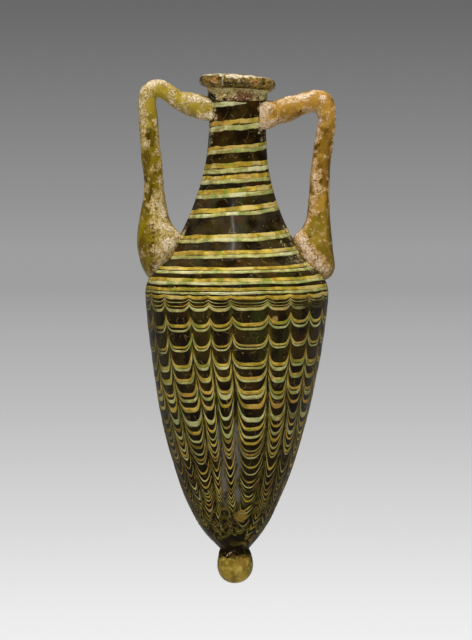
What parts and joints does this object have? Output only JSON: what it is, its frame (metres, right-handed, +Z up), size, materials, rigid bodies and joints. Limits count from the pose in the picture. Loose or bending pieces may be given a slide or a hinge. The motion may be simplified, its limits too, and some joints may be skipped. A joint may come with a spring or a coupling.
{
  "type": "amphoriskos",
  "caption": "Small dark core-formed glass oil bottle with a pointed body, combed threads, tall neck, rod handles and a base knob.",
  "frame": {"origin": "middle of the small flat under the base knob", "axes": "+Z up along the vessel's axis, -Y towards the viewer of the picture, +X towards the right handle"},
  "size_m": [0.0623, 0.0571, 0.1601],
  "materials": {
    "dark_glass": "glossy, opaque, very dark olive brown",
    "ochre_glass": "weathered ochre olive, satin",
    "pale_glass": "opaque pale green, satin",
    "yellow_glass": "opaque yellow, satin",
    "brown_glass": "translucent brown, glossy",
    "olive_glass": "translucent olive yellow with a whitish crust",
    "amber_glass": "translucent amber with a whitish crust"
  },
  "bodies": {
    "root": {"vessel_wall": "dark_glass", "base_knob": "ochre_glass", "mouth_collar": "pale_glass", "lip_ring": "brown_glass", "yellow_thread": "yellow_glass", "pale_thread": "pale_glass", "left_handle": "olive_glass", "right_handle": "amber_glass"}
  },
  "joints": []
}
